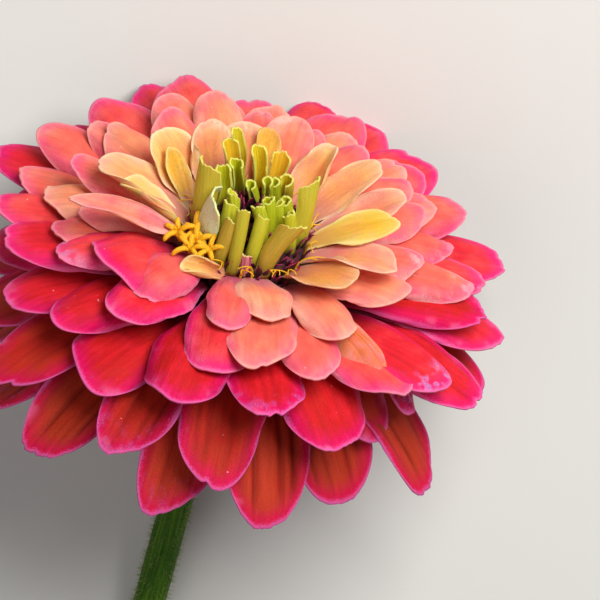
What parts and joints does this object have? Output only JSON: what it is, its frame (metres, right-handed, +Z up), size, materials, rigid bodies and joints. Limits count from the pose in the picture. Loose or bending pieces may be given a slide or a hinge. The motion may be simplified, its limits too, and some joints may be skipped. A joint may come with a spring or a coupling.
{
  "type": "zinnia flower",
  "caption": "Large double zinnia head with drooping crimson rays, coral upper rays, rolled yellow-green inner rays and a small disc, on a bare bent stem, lying down.",
  "frame": {"origin": "centre of the flower's box, on the surface that it lies on", "axes": "+Z up from the surface, +Y from the stem's cut end towards the head, +X to the right of someone who looks along +Y"},
  "size_m": [0.0997, 0.1419, 0.0812],
  "materials": {
    "stem": "satin",
    "bracts": "satin",
    "crimson_rays": "satin",
    "coral_rays": "satin",
    "quilled_rays": "satin",
    "disc": "matte"
  },
  "bodies": {
    "root": {"stem": "stem", "bracts": "bracts", "crimson_rays": "crimson_rays", "coral_rays": "coral_rays", "quilled_rays": "quilled_rays", "disc": "disc"}
  },
  "joints": []
}
